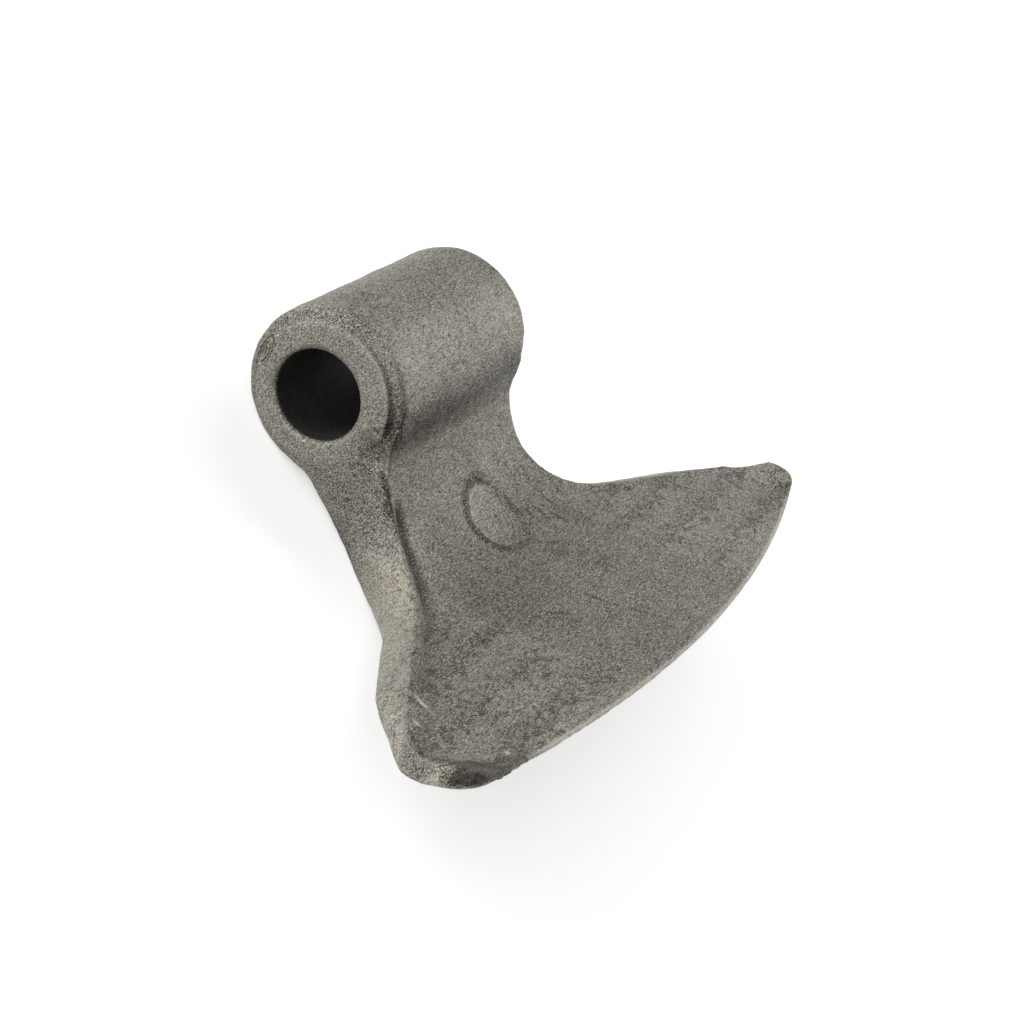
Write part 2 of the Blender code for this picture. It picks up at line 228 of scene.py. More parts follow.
def edge_line(x):
    """Length s of the arched cutting edge: its centre's, plus the root of its radius squared
    less x squared."""
    return EDGE_CENTRE_S + np.sqrt(EDGE_RADIUS ** 2 - np.minimum(np.abs(x), BLADE_HALF) ** 2)


TIP_S = float(edge_line(np.array(0.0)))
TIP, TIP_INTO = profile(np.array(TIP_S))
BACK_OUT = np.array((math.cos(BACK_ANGLE), -math.sin(BACK_ANGLE)))
BACK_DOWN = np.array((-math.sin(BACK_ANGLE), -math.cos(BACK_ANGLE)))
BACK_LEVEL = (TIP + TIP_THICKNESS * TIP_INTO) @ BACK_OUT
KNUCKLE_Y = NECK_BACK_Y - KNUCKLE_RADIUS
KNUCKLE = np.array((KNUCKLE_Y,
                    (BACK_LEVEL - KNUCKLE_RADIUS - KNUCKLE_Y * BACK_OUT[0]) / BACK_OUT[1]))
print("Face line in mm: bend at", round(BEND_S / MM, 1), "tip at", round(TIP_S / MM, 1))

# %% [markdown]
# ## Where the hammer lies
# A loose hammer comes to rest on its back, on the boss and on the knuckle, with the face of the
# blade up. It could be turned into place afterwards by an angle found by trial. Here the floor is
# the line that touches both circles of the side profile, so its direction follows from their
# centres and radii, and stays right when a size changes. The CAD part lies in the same way.

# %% From the shape's frame to the floor
between = BOSS - KNUCKLE
down_angle = (math.atan2(between[1], between[0])
              - math.acos((KNUCKLE_RADIUS - BOSS_RADIUS) / np.hypot(*between)))
DOWN = np.array((math.cos(down_angle), math.sin(down_angle)))
ALONG = np.array((DOWN[1], -DOWN[0]))
FLOOR = DOWN @ BOSS + BOSS_RADIUS
MIDDLE = (ALONG @ BOSS - BOSS_RADIUS + ALONG @ (TIP + (EDGE_THICKNESS - TIP_RISE) * TIP_INTO)) / 2


def on_floor(x, yz):
    """Points of the shape's frame laid on the floor: half a turn about the floor's normal and a
    tilt that brings the boss and the knuckle down to z = 0."""
    return np.stack((-x + 0.0 * yz[..., 0], yz @ ALONG - MIDDLE, FLOOR - yz @ DOWN), -1)


def place(x, s, depth):
    """Points at (x, s) on the face, pushed into the steel by depth."""
    line, into = profile(s)
    return on_floor(x, line + depth[..., None] * into)


BORE_LINE = on_floor(np.array(0.0), np.zeros(2))
BOSS_LINE = on_floor(np.array(0.0), BOSS)
print("Bore centre in mm:", (BORE_LINE / MM).round(2))

# %% [markdown]
# ## The camera
# The photograph was taken close up with a long lens, a little above the face of the blade and
# from the side of the boss. The camera is turned on its own axis, so the boss stands at the top
# left of the picture although the hammer lies on its back. Three angles say this more plainly
# than a matrix would, and each can be changed by itself.

# %% Camera
CAMERA_AT = Vector((0.4229, -0.0031, 0.2783))
CAMERA_AZIMUTH = math.radians(88.35)
CAMERA_ELEVATION = math.radians(31.17)
CAMERA_ROLL = math.radians(56.62)
FOCAL_LENGTH = 76.64          # mm
SENSOR_WIDTH = 36.0           # mm
CLIP_START = 0.01


def camera_axes(azimuth, elevation, roll):
    """Right, up and backward directions of a camera, turned on its own axis by roll."""
    back = Vector((math.sin(azimuth) * math.cos(elevation),
                   -math.cos(azimuth) * math.cos(elevation), math.sin(elevation)))
    right = Vector((math.cos(azimuth), math.sin(azimuth), 0.0))
    up = back.cross(right)
    c, s = math.cos(roll), math.sin(roll)
    return c * right + s * up, c * up - s * right, back


lens = bpy.data.cameras.new("photo_camera")
lens.lens = FOCAL_LENGTH
lens.sensor_width = SENSOR_WIDTH
lens.clip_start = CLIP_START
camera = bpy.data.objects.new("photo_camera", lens)
turn = Matrix(camera_axes(CAMERA_AZIMUTH, CAMERA_ELEVATION, CAMERA_ROLL)).transposed()
camera.matrix_world = Matrix.Translation(CAMERA_AT) @ turn.to_4x4()
bpy.context.scene.collection.objects.link(camera)
bpy.context.scene.camera = camera
print("Camera distance in mm:", round(CAMERA_AT.length / MM))

# %% [markdown]
# ## The front outline
# Laid flat, the outline of the face runs down the neck, round a wide fillet, out along the
# flare, round the corner and back along the arched edge. Later steps need to know how far each
# point of the face is from that line. A formula for each stretch would need a rule for which of
# them is nearest. So the line is a chain of many short pieces, and the distance to the nearest
# one is found for a whole sheet of points at once.

# %% Outline as one chain of points
STEPS = 60                    # points in a stretch
NECK_TOP_S = -30.0 * MM


def chain(*stretches):
    """One list of (x, s) from stretches that follow each other."""
    return np.concatenate([np.stack(np.broadcast_arrays(*xs), -1) for xs in stretches])


def outline():
    """Half outline as (x, s), closely spaced, and how many of its points come before the middle
    of the corner."""
    turn_by = math.pi / 2 - FLARE_ANGLE
    neck_end = FLARE_MEET_S - FLARE_RADIUS * math.tan(turn_by / 2)
    s = np.linspace(NECK_TOP_S, neck_end, STEPS)
    neck = (NECK_HALF_TOP + (NECK_HALF - NECK_HALF_TOP) * ease(s / NECK_TOP_RUN), s)
    a = np.linspace(0.0, turn_by, STEPS)[1:]
    fillet = (NECK_HALF + FLARE_RADIUS * (1 - np.cos(a)), neck_end + FLARE_RADIUS * np.sin(a))
    tilt = math.asin(CORNER_X / (EDGE_RADIUS - CORNER_RADIUS))
    a = np.linspace(FLARE_ANGLE - math.pi / 2, math.pi / 2 - tilt, STEPS)
    corner = (CORNER_X + CORNER_RADIUS * np.cos(a), CORNER_S + CORNER_RADIUS * np.sin(a))
    a = np.linspace(tilt, 0.0, 2 * STEPS)[1:]
    edge = (EDGE_RADIUS * np.sin(a), edge_line(EDGE_RADIUS * np.sin(a)))
    return chain(neck, fillet, corner, edge), 2 * STEPS - 1 + STEPS // 2


LINE, HALFWAY = outline()
print("Outline points:", len(LINE), "half width in mm:", round(LINE[:, 0].max() / MM, 2))

# %% Distance to the outline
BLOCKS = 40                   # the points are measured in so many blocks, to save memory


def nearest_in_block(x, s):
    """Signed distance from the points (x, s) to the chain, negative inside, with the nearest
    point and its place along the chain. The nearest point of each short piece is its start plus
    a share of it, from 0 to 1."""
    a, step = LINE[:-1], np.diff(LINE, axis=0)
    p = np.stack((x, s), -1)[..., None, :]
    t = np.clip(((p - a) * step).sum(-1) / (step * step).sum(-1), 0.0, 1.0)
    gap = p - (a + t[..., None] * step)
    far = np.hypot(gap[..., 0], gap[..., 1])
    best = far.argmin(-1)

    def take(values):
        """The value that belongs to the nearest short piece."""
        return np.take_along_axis(values, best[..., None], -1)[..., 0]

    side = take(gap[..., 0] * step[:, 1] - gap[..., 1] * step[:, 0])
    spot = a[best] + take(t)[..., None] * step[best]
    return np.where(side > 0, 1, -1) * take(far), spot, best + take(t)


def nearest(x, s):
    """The same for arrays of points, block by block; the hammer's two halves are alike."""
    blocks = zip(np.array_split(np.abs(x), BLOCKS), np.array_split(s, BLOCKS))
    return [np.concatenate(rows) for rows in zip(*[nearest_in_block(*block) for block in blocks])]


# %% [markdown]
# ## The grid
# A forging has no flat patches that a grid could follow from end to end: the boss runs into the
# neck and the neck into the blade. It could be cut and joined with Booleans, which leave hard
# seams. Here it is one solid described by a single number at each point, below zero inside the
# steel, and the surface is drawn where the number is zero. The points follow the side profile
# and not the room, so that they lie close together across the thin blade.

# %% Grid lines along the bore, along the face and into the steel
def spaced(*stretches):
    """Grid lines from stretches of (start, end, step) in mm, each ending where the next begins."""
    lines = [np.linspace(a, b, max(int(round((b - a) / step)), 1), endpoint=False)
             for a, b, step in stretches]
    return np.concatenate(lines + [[stretches[-1][1]]]) * MM


X = spaced((-101.6, -35, 0.85), (-35, -29, 0.4), (-29, 29, 0.85), (29, 35, 0.4), (35, 101.6, 0.85))
S = spaced((-14.2, 13, 0.38), (13, 78, 0.85), (78, 92.5, 0.55))
D = spaced((-7.21, -2.41, 0.5), (-2.41, -0.13, 0.24), (-0.13, 5, 0.4), (5, 10, 0.5), (10, 39.2, 0.8))
print("Grid:", len(X), len(S), len(D))

# %% Sheets over the face
xs, ss = np.meshgrid(X, S, indexing="ij")
reach, reach_spot, reach_order = nearest(xs, ss)
below = reach_order > HALFWAY
spot_x, spot_s = reach_spot[..., 0], reach_spot[..., 1]


def blunt(x):
    """0 along the sharp length of the edge and 1 at the corners."""
    return ease((np.abs(x) - EDGE_HALF) / EDGE_FADE)


print("Share of the sheet inside the outline:", round(float((reach < 0).mean()), 2))

# %% [markdown]
# ## Face and back
# The face is dished inside its rim, turns forward at the edge, and its corners are turned up.
# The back is flat, runs round the knuckle into the straight neck, and is ground thin behind the
# sharp length of the edge. Both are depths over the same sheet of points. The real dies are two
# such depths as well, one cut into each half, and that is why they suit a forging better than a
# stack of separate solids.

# %% Depth of the face
curl = CURL * ease((np.abs(xs) - CURL_X) / CURL_RUN) * ease((ss - CURL_S) / CURL_RUN)
curl = curl * np.where(xs > 0, FAR_CURL, 1.0)
rise = TIP_RISE * np.maximum((ss - TIP_RISE_START) / (TIP_S - TIP_RISE_START), 0.0) ** 2
rim = np.where(below, 1.0, ease((spot_s - RIM_START_S) / RIM_FADE))
fade = 1.0 - ease((ss - edge_line(xs) + DISH_EDGE_RUN) / DISH_EDGE_RUN)
slope = STEEP_SHARE * ease(-reach / STEEP_WIDTH) + (1.0 - STEEP_SHARE) * ease(-reach / (2 * RIM_WIDTH))
dish = DISH * rim * fade * slope
beside_neck = (ease((ss - GUTTER_START_S) / GUTTER_START_RUN)
               * ease((GUTTER_END_S - ss) / GUTTER_END_RUN) * ~below)
gutter = GUTTER_DEPTH * beside_neck * ease(1.0 - np.abs(-reach - GUTTER_AT) / GUTTER_HALF_WIDTH)
gutter = gutter * ease(0.5 - xs / GUTTER_SIDE_RUN)
pad_gap = np.hypot(xs - PAD_X, ss - PAD_S) - PAD_RADIUS
pad = PAD_DEPTH * ease(0.5 - pad_gap / PAD_WALL)
face = dish + gutter + pad - rise - curl
print("Face in mm, highest and deepest:", round(float(face.min()) / MM, 1), round(float(face.max()) / MM, 1))

# %% Depth of the back
line, into = profile(S)
to_neck = (NECK_BACK_Y - line[:, 0]) / into[:, 0]
at_neck = line + to_neck[:, None] * into
to_back = (BACK_LEVEL - line @ BACK_OUT) / (into @ BACK_OUT)
at_back = line + to_back[:, None] * into
off = line - KNUCKLE
b = (off * into).sum(-1)
to_knuckle = np.sqrt(np.maximum(b * b - (off * off).sum(-1) + KNUCKLE_RADIUS ** 2, 0.0)) - b
on_back = (at_back - KNUCKLE) @ BACK_DOWN >= 0.0
thick = np.where(at_neck[:, 1] >= KNUCKLE[1], to_neck, np.where(on_back, to_back, to_knuckle))
full = thick[None, :] + (1.0 - CURL_OF_BACK) * curl
left = np.clip((edge_line(xs) - ss) / EDGE_GRIND, 0.0, 1.0)
sharp = EDGE_THICKNESS - rise
ground = sharp + (full - sharp) * left
back = ground + (full - ground) * blunt(xs) - curl
print("Thickness in mm at the pad:", round(float(np.interp(PAD_S, S, thick)) / MM, 1))

# %% [markdown]
# The sides of a forging are not walls. They bulge to the line where the two dies met and the
# flash was sheared off, and turn in again towards the back. The band is how far they bulge out,
# and the tuck is how far they come in at the back.

# %% Side band
band = BAND_NECK + (BAND_FLARE - BAND_NECK) * ease((spot_s - BAND_START_S) / BAND_RUN)
band = band + (BAND_CORNER - band) * ease((spot_x / BLADE_HALF - BAND_END) / BAND_END_RUN)
band = np.where(below, BAND_CORNER * ease((spot_x - BLADE_HALF) / CORNER_WALL + 1.0), band)
to_corner = ease((spot_x / BLADE_HALF - CORNER_ROUND_END) / CORNER_ROUND_RUN)
tuck_in = BACK_ROUND + (CORNER_ROUND - BACK_ROUND) * to_corner
tuck_in = np.where(below, CORNER_ROUND * np.maximum(blunt(spot_x), LEAST_ROUND), tuck_in)
print("Widest band in mm:", round(float(band.max()) / MM, 1))

# %% [markdown]
# ## The solid
# Rounded joins put the hammer together. The blade is what lies behind the face, before
# the back and inside the band. The boss is a rounded cylinder with a smaller round hub at each
# end, which a tool has faced flat. The fillet between boss and blade stays small, because the
# hollow already runs into the boss, and a large one would raise a swelling along their line. The
# groove, the lap and the bore with its chamfered mouths are then taken away.

# %% Blade
def steel_share(field):
    """Share of the grid's points that lie in the steel, in percent."""
    return round(float((field < 0).mean()) * 100, 2)


depth = D[None, None, :]
room = np.maximum(back - face, LEAST_THICKNESS)[..., None]
t = np.clip((depth - face[..., None]) / room, 0.0, 1.0)
bulge = np.minimum(np.sin(np.pi * np.minimum(t, 0.5)), 1.0)
tuck = np.maximum(2.0 * t - 1.0, 0.0) ** 2
flank = band[..., None] * bulge * (1.0 - tuck) + (band - tuck_in)[..., None] * tuck
blade = meet(face[..., None] - depth, depth - back[..., None], FACE_ROUND)
blade = meet(blade, reach[..., None] - flank, SIDE_ROUND)
yz = line[:, None, :] + D[None, :, None] * into[:, None, :]
blade = np.maximum(blade, np.maximum(yz[..., 1], -S[:, None])[None])
print("Blade, in % of the grid:", steel_share(blade))

# %% Boss and hubs
across = np.abs(X)[:, None, None]


def turned(half, radius, corner, r):
    """Cylinder about the bore's direction with rounded ends: the distance to a smaller cylinder,
    less the corner's radius."""
    a, b = across - half + corner, r - radius + corner
    return np.hypot(np.maximum(a, 0), np.maximum(b, 0)) + np.minimum(np.maximum(a, b), 0) - corner


boss_r = np.hypot(yz[..., 0] - BOSS[0], yz[..., 1] - BOSS[1])[None]
boss = turned(BOSS_LENGTH / 2 - HUB_PROUD, BOSS_RADIUS, BOSS_END_ROUND, boss_r)
hub = turned(BOSS_LENGTH / 2, HUB_RADIUS, HUB_END_ROUND, boss_r)
solid = join(join(boss, blade, BOSS_FILLET), hub, HUB_FILLET)
print("With the boss:", steel_share(solid))

# %% Groove beside the hub, on the side of the hollow
up = -((yz - BOSS) @ DOWN)
along = (yz - BOSS) @ ALONG
around = np.arctan2(up, along)
open_here = ease((around - GROOVE_FROM) / GROOVE_FADE) * ease((GROOVE_TO - around) / GROOVE_FADE)
ring = np.hypot(across - BOSS_LENGTH / 2 + GROOVE_INSET, boss_r - GROOVE_RADIUS)
solid = meet(solid, GROOVE_HALF_WIDTH * open_here[None] - ring, GROOVE_ROUND)
print("With the groove:", steel_share(solid))

# %% Lap below the hub, a shallow spoon cut in the near side
lap_gap = np.hypot(along - (LAP_Y - BOSS_LINE[1]), LAP_FLATNESS * (up - (LAP_Z - BOSS_LINE[2])))
lap = np.hypot(lap_gap[None], -X[:, None, None] - NECK_HALF - LAP_RADIUS + LAP_DEPTH)
solid = meet(solid, LAP_RADIUS - lap, LAP_ROUND)
print("With the lap:", steel_share(solid))

# %% Bore
bore_r = np.hypot(yz[..., 0], yz[..., 1])[None]
mouth = np.maximum(across - BOSS_LENGTH / 2 + BORE_CHAMFER, 0.0)
solid = meet(solid, BORE_RADIUS + mouth - bore_r, BORE_ROUND)
print("With the bore:", steel_share(solid))

# %% [markdown]
# ## Drawing the skin
# Each cell of the grid that the surface passes through gets one point, the mean of the places
# where the surface crosses the cell's edges. Each grid edge that the surface crosses gets one
# face, which joins the points of the four cells round it. This is known as surface nets, and it
# takes no loop over points. Marching cubes would do too, but needs a table of cases and makes
# many thin triangles.

# %% Surface nets
def skin(field, lines):
    """Points and four-sided faces of the surface where the field is zero. A crossing lies along
    its grid edge by the share of the start's value in the difference of both ends."""
    inside = field < 0
    count = sum(inside[i:len(lines[0]) - 1 + i, j:len(lines[1]) - 1 + j, k:len(lines[2]) - 1 + k]
                .astype(np.int8) for i in (0, 1) for j in (0, 1) for k in (0, 1))
    crossed = (count > 0) & (count < 8)
    ids = np.full(crossed.shape, -1)
    ids[crossed] = np.arange(crossed.sum())
    total, hits, quads = np.zeros((crossed.sum(), 3)), np.zeros(crossed.sum()), []
    for axis in range(3):
        low = [slice(None)] * 3
        high = [slice(None)] * 3
        low[axis], high[axis] = slice(None, -1), slice(1, None)
        a, b = field[tuple(low)], field[tuple(high)]
        at = np.stack(np.nonzero((a < 0) != (b < 0)), -1)
        start, end = a[tuple(at.T)], b[tuple(at.T)]
        where = np.stack([lines[n][at[:, n]] for n in range(3)], -1)
        step = lines[axis][at[:, axis] + 1] - lines[axis][at[:, axis]]
        where[:, axis] += step * start / (start - end)
        u, v = (axis + 1) % 3, (axis + 2) % 3
        ring = []
        for du, dv in ((1, 1), (0, 1), (0, 0), (1, 0)):
            cell = at.copy()
            cell[:, u] -= du
            cell[:, v] -= dv
            number = ids[tuple(cell.T)]
            ring.append(number)
            total += np.stack([np.bincount(number, where[:, n], len(total)) for n in range(3)], -1)
            hits += np.bincount(number, minlength=len(total))
        ring = np.stack(ring, -1)
        ring[start > 0] = ring[start > 0][:, ::-1]
        quads.append(ring)
    return total / hits[:, None], np.concatenate(quads)


points, quads = skin(solid, (X, S, D))
print("Skin:", len(points), "points,", len(quads), "faces")

# %% [markdown]
# The cutting edge is no thicker than a cell of the grid is long, so it comes out of the nets a
# little ragged. A finer grid would cost points everywhere. Its points are moved onto the outline
# instead, which is known exactly.

# %% Clean cutting edge
SNAP_FROM = 0.42 * MM         # inside the outline
SNAP_PAST_SHARP = 8.0 * MM    # beyond the sharp length

edge_gap, edge_spot, edge_order = nearest(points[:, 0], points[:, 1])
at_edge = edge_order > HALFWAY
on_edge = at_edge & (edge_gap > -SNAP_FROM) & (np.abs(points[:, 0]) < EDGE_HALF + SNAP_PAST_SHARP)
points[on_edge, 0] = edge_spot[on_edge, 0] * np.sign(points[on_edge, 0])
points[on_edge, 1] = edge_spot[on_edge, 1]
print("Points on the cutting edge:", int(on_edge.sum()))

# %% [markdown]
# ## Laid down and evened out
# The points now go to their places on the floor. One light pass takes the grid's steps out of
# the whole skin. Forty more work only where the boss runs into the hollow: hot steel flows there
# in one long curve, and two circles that merely meet would show a line.

# %% Points on the floor, evened out
HOLLOW_HALF_S, HOLLOW_S_RUN = 9.0 * MM, 4.0 * MM
HOLLOW_HALF_DEPTH, HOLLOW_DEPTH_RUN = 7.0 * MM, 2.0 * MM
HOLLOW_END, HOLLOW_END_RUN = BOSS_LENGTH / 2 - 5.0 * MM, 4.0 * MM
HOLLOW_PASSES = 40


def neighbours_mean(values, faces):
    """Mean of each point's neighbours, counted once for each side of a face that joins them."""
    a, b = faces.ravel(), np.roll(faces, -1, axis=1).ravel()
    n = len(values)
    near = np.bincount(a, minlength=n) + np.bincount(b, minlength=n)
    sums = [np.bincount(a, row[b], n) + np.bincount(b, row[a], n) for row in values.T]
    return np.stack(sums, -1) / near[:, None]


def evened(p, faces):
    """Each point moved half of the way to the mean of its neighbours."""
    return p + 0.5 * (neighbours_mean(p, faces) - p)


surface = place(points[:, 0], points[:, 1], points[:, 2])
surface = np.where(on_edge[:, None], surface, evened(surface, quads))
in_hollow = (ease((HOLLOW_HALF_S - np.abs(points[:, 1])) / HOLLOW_S_RUN)
             * ease((HOLLOW_HALF_DEPTH - np.abs(points[:, 2])) / HOLLOW_DEPTH_RUN)
             * ease((HOLLOW_END - np.abs(points[:, 0])) / HOLLOW_END_RUN))[:, None]
for _ in range(HOLLOW_PASSES):
    surface = surface + in_hollow * (evened(surface, quads) - surface)
print("Points evened in the hollow:", int((in_hollow > 0).sum()))

# %% [markdown]
# ## The unevenness of a forging
# A forged surface is never quite even. Scale pressed into it, the grain of the die and the shot
# leave it gently uneven. A noise texture could move the points too, but a heap of plane waves in
# random directions, each with its own phase, is one short formula with no seams. It gives the
# same result each time from one seed. The bore is drilled and the edge is ground, so both are
# left smoother.

# %% Unevenness
WAVES = ((0.07, 15.0, 3), (0.05, 6.0, 5), (0.035, 3.0, 7))   # height and length in mm, and seed
WAVE_COUNT = 40
BORE_SMOOTH, BORE_SMOOTH_RUN = 0.3 * MM, 1.5 * MM
EDGE_SMOOTH, EDGE_SMOOTH_RUN = 0.5 * MM, 3.0 * MM
EDGE_UNEVEN = 0.25            # share of the unevenness that is left at the ground edge


def waves(p, length, seed):
    """Sum of sine waves of about the given length in random directions, over the root of their
    number, so about -1 to 1."""
    rng = np.random.default_rng(seed)
    way = rng.normal(size=(WAVE_COUNT, 3))
    lengths = length * rng.uniform(0.7, 1.5, WAVE_COUNT)
    way *= (2 * math.pi / lengths / np.linalg.norm(way, axis=1))[:, None]
    phase = rng.uniform(0, 2 * math.pi, WAVE_COUNT)
    return np.sin(p @ way.T + phase).sum(1) / math.sqrt(WAVE_COUNT)


def normals(p, faces):
    """Outward direction at each point: the sum of its faces' crossed diagonals."""
    cross = np.cross(p[faces[:, 2]] - p[faces[:, 0]], p[faces[:, 3]] - p[faces[:, 1]])
    out = np.stack([np.bincount(faces.ravel(), np.repeat(row, 4), len(p)) for row in cross.T], -1)
    return out / np.linalg.norm(out, axis=1)[:, None]


from_bore = np.hypot(surface[:, 1] - BORE_LINE[1], surface[:, 2] - BORE_LINE[2])
rough = ease((from_bore - BORE_RADIUS - BORE_SMOOTH) / BORE_SMOOTH_RUN)
off_edge = EDGE_UNEVEN + (1.0 - EDGE_UNEVEN) * ease((-edge_gap - EDGE_SMOOTH) / EDGE_SMOOTH_RUN)
rough = rough * np.where(at_edge, off_edge, 1.0)
lift = sum(height * waves(surface, length * MM, seed) for height, length, seed in WAVES)
surface = surface + normals(surface, quads) * (lift * rough * MM)[:, None]
surface[:, 2] = np.maximum(surface[:, 2], 0.0)
print("Unevenness in mm, 5 and 95 of 100:", np.percentile(lift * rough, (5, 95)).round(2))

# %% [markdown]
# The finish paints shade into the hollows of the forging and its crests are rubbed bright, so it
# needs to know how hollow each place is. That is how far the mean of its neighbours lies above
# it, against the square of their distance. Cycles has a similar measure, Pointiness, but its
# reach can't be chosen, so it is measured here once and kept with each point.

# %% Hollowness
HOLLOWNESS_UNIT = 1000.0      # 1/m, the curvature of a ball 1 mm in radius
HOLLOWNESS_PASSES = 3


def hollowness(p, faces, out):
    """Curvature at each point in 1/m, above 0 in a hollow and below 0 on a crest: twice the rise
    to the neighbours along the normal, over their squared distances."""
    a, b = faces.ravel(), np.roll(faces, -1, axis=1).ravel()
    step = p[b] - p[a]
    size = (step * step).sum(1)
    rise_from_a = np.bincount(a, (step * out[a]).sum(1), len(p))
    rise_from_b = np.bincount(b, (step * out[b]).sum(1), len(p))
    return 2.0 * (rise_from_a - rise_from_b) / (np.bincount(a, size, len(p)) + np.bincount(b, size, len(p)))


hollow = hollowness(surface, quads, normals(surface, quads))[:, None]
for _ in range(HOLLOWNESS_PASSES):
    hollow = neighbours_mean(hollow, quads)
print("Hollowness, 5 and 95 of 100:", np.percentile(hollow, (5, 95)).round(1))

# %% [markdown]
# ## The mesh
# The points and faces become one mesh for the one forging. Each point also keeps where it is on
# the face, how far it is inside the outline, whether the edge is the nearest part of that line,
# how hollow it is and how deep it lies. The finish can then be placed in the hammer's own
# lengths, with no picture and no unwrapping.

# %% Mesh with its attributes
def keep(mesh, name, *columns):
    """Three numbers for each point of the mesh, kept under a name."""
    kept = mesh.attributes.new(name, "FLOAT_VECTOR", "POINT")
    kept.data.foreach_set("vector", np.stack(columns, -1).ravel())


mesh = bpy.data.meshes.new("forged_hammer")
mesh.from_pydata(surface.tolist(), [], quads.tolist())
mesh.shade_smooth()
keep(mesh, "on_face", points[:, 0], points[:, 1], -edge_gap)
keep(mesh, "forging", at_edge, hollow[:, 0] / HOLLOWNESS_UNIT, points[:, 2])
hammer = bpy.data.objects.new("forged_hammer", mesh)
bpy.context.scene.collection.objects.link(hammer)
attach(hammer, "root")
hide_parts("hammer_blade")
print("Triangles:", 2 * len(quads))

# %% [markdown]
# ## Shader maths
# The finish is written as sums and products of patterns. Making and linking each node by hand
# would take many lines for one formula. A small class wraps a node's output instead, so that an
# expression in Python adds the Math nodes.

# %% Sockets with operators
class Value:
    """A number, colour or vector that changes over the surface."""

    def __init__(self, tree, socket):
        self.tree = tree
        self.socket = socket

    def node(self, kind, output, settings=None, values=None):
        """Any node: its settings first, then the values or links of its sockets."""
        made = self.tree.nodes.new(kind)
        for name, value in (settings or {}).items():
            setattr(made, name, value)
        for name, value in (values or {}).items():
            if isinstance(value, Value):
                self.tree.links.new(value.socket, made.inputs[name])
            else:
                made.inputs[name].default_value = value
        return Value(self.tree, made.outputs[output])

    def math(self, operation, *values):
        """One Math node with the values given."""
        return self.node("ShaderNodeMath", 0, {"operation": operation}, dict(enumerate(values)))

    def __add__(self, other):
        return self.math("ADD", self, other)

    def __radd__(self, other):
        return self.math("ADD", other, self)

    def __sub__(self, other):
        return self.math("SUBTRACT", self, other)

    def __rsub__(self, other):
        return self.math("SUBTRACT", other, self)

    def __mul__(self, other):
        return self.math("MULTIPLY", self, other)

    def __rmul__(self, other):
        return self.math("MULTIPLY", other, self)

    def __abs__(self):
        return self.math("ABSOLUTE", self)

    def root(self):
        """Square root."""
        return self.math("SQRT", self)

    def ramp(self, low, high):
        """0 at low, 1 at high, eased between them; low may be the larger of the two."""
        return self.node("ShaderNodeMapRange", 0, {"interpolation_type": "SMOOTHSTEP"},
                         {"Value": self, "From Min": low, "From Max": high})

    def hill(self, centre, half_width):
        """1 at the centre, falling to 0 at half_width on both sides."""
        return abs(self - centre).ramp(half_width, 0.0)

    def parts(self):
        """The three numbers of a vector."""
        split = self.node("ShaderNodeSeparateXYZ", 0, None, {0: self}).socket.node
        return [Value(self.tree, socket) for socket in split.outputs]

    def noise(self, size, detail=2.0, roughness=0.5, stretch=None):
        """Noise from 0 to 1 with lumps of about the given size, in metres."""
        place = self
        if stretch:
            place = self.node("ShaderNodeMapping", 0, None, {"Vector": self, "Scale": stretch})
        return self.node("ShaderNodeTexNoise", 0, None,
                         {"Vector": place, "Scale": 1.0 / size, "Detail": detail, "Roughness": roughness})

    def mix(self, first, second):
        """The first colour where this is 0, the second where it is 1."""
        return self.node("ShaderNodeMix", 2, {"data_type": "RGBA"}, {0: self, 6: first, 7: second})


# %% [markdown]
# ## The blasted skin
# Shot leaves a skin of tiny overlapping dents. From a step away they read as a fine grain of
# dark and bright specks over a warm grey, with short fibres where the steel was drawn in the die
# and wider clouds of thicker and thinner scale. The dents are too small to model, so they are
# patterns of six sizes, and the glints of light off them are painted as bright specks. The grain
# goes into the colour, the roughness and the bump together, because in one of them alone it looks
# printed on.

# %% Patterns of the skin, each with its size, detail and roughness
CLOUDS, MOTTLE, GRAIN = (16.0 * MM, 3.0), (2.6 * MM, 4.0, 0.6), (0.27 * MM, 3.0, 0.8)
FIBRES, FIBRE_STRETCH = (0.6 * MM, 3.0, 0.7), (0.45, 1.7, 1.0)
# Painted glints of light off the shot dents.
GLINTS, GLINT_RANGE = (0.36 * MM, 1.0), (0.56, 0.70)
PITS, PIT_RANGE = (0.45 * MM, 1.0), (0.36, 0.24)


def skin_patterns(spot):
    """Wide clouds, mottle, fine grain, short fibres, painted glints and dark pits, all 0 to 1."""
    return (spot.noise(*CLOUDS), spot.noise(*MOTTLE), spot.noise(*GRAIN),
            spot.noise(*FIBRES, FIBRE_STRETCH), spot.noise(*GLINTS).ramp(*GLINT_RANGE),
            spot.noise(*PITS).ramp(*PIT_RANGE))
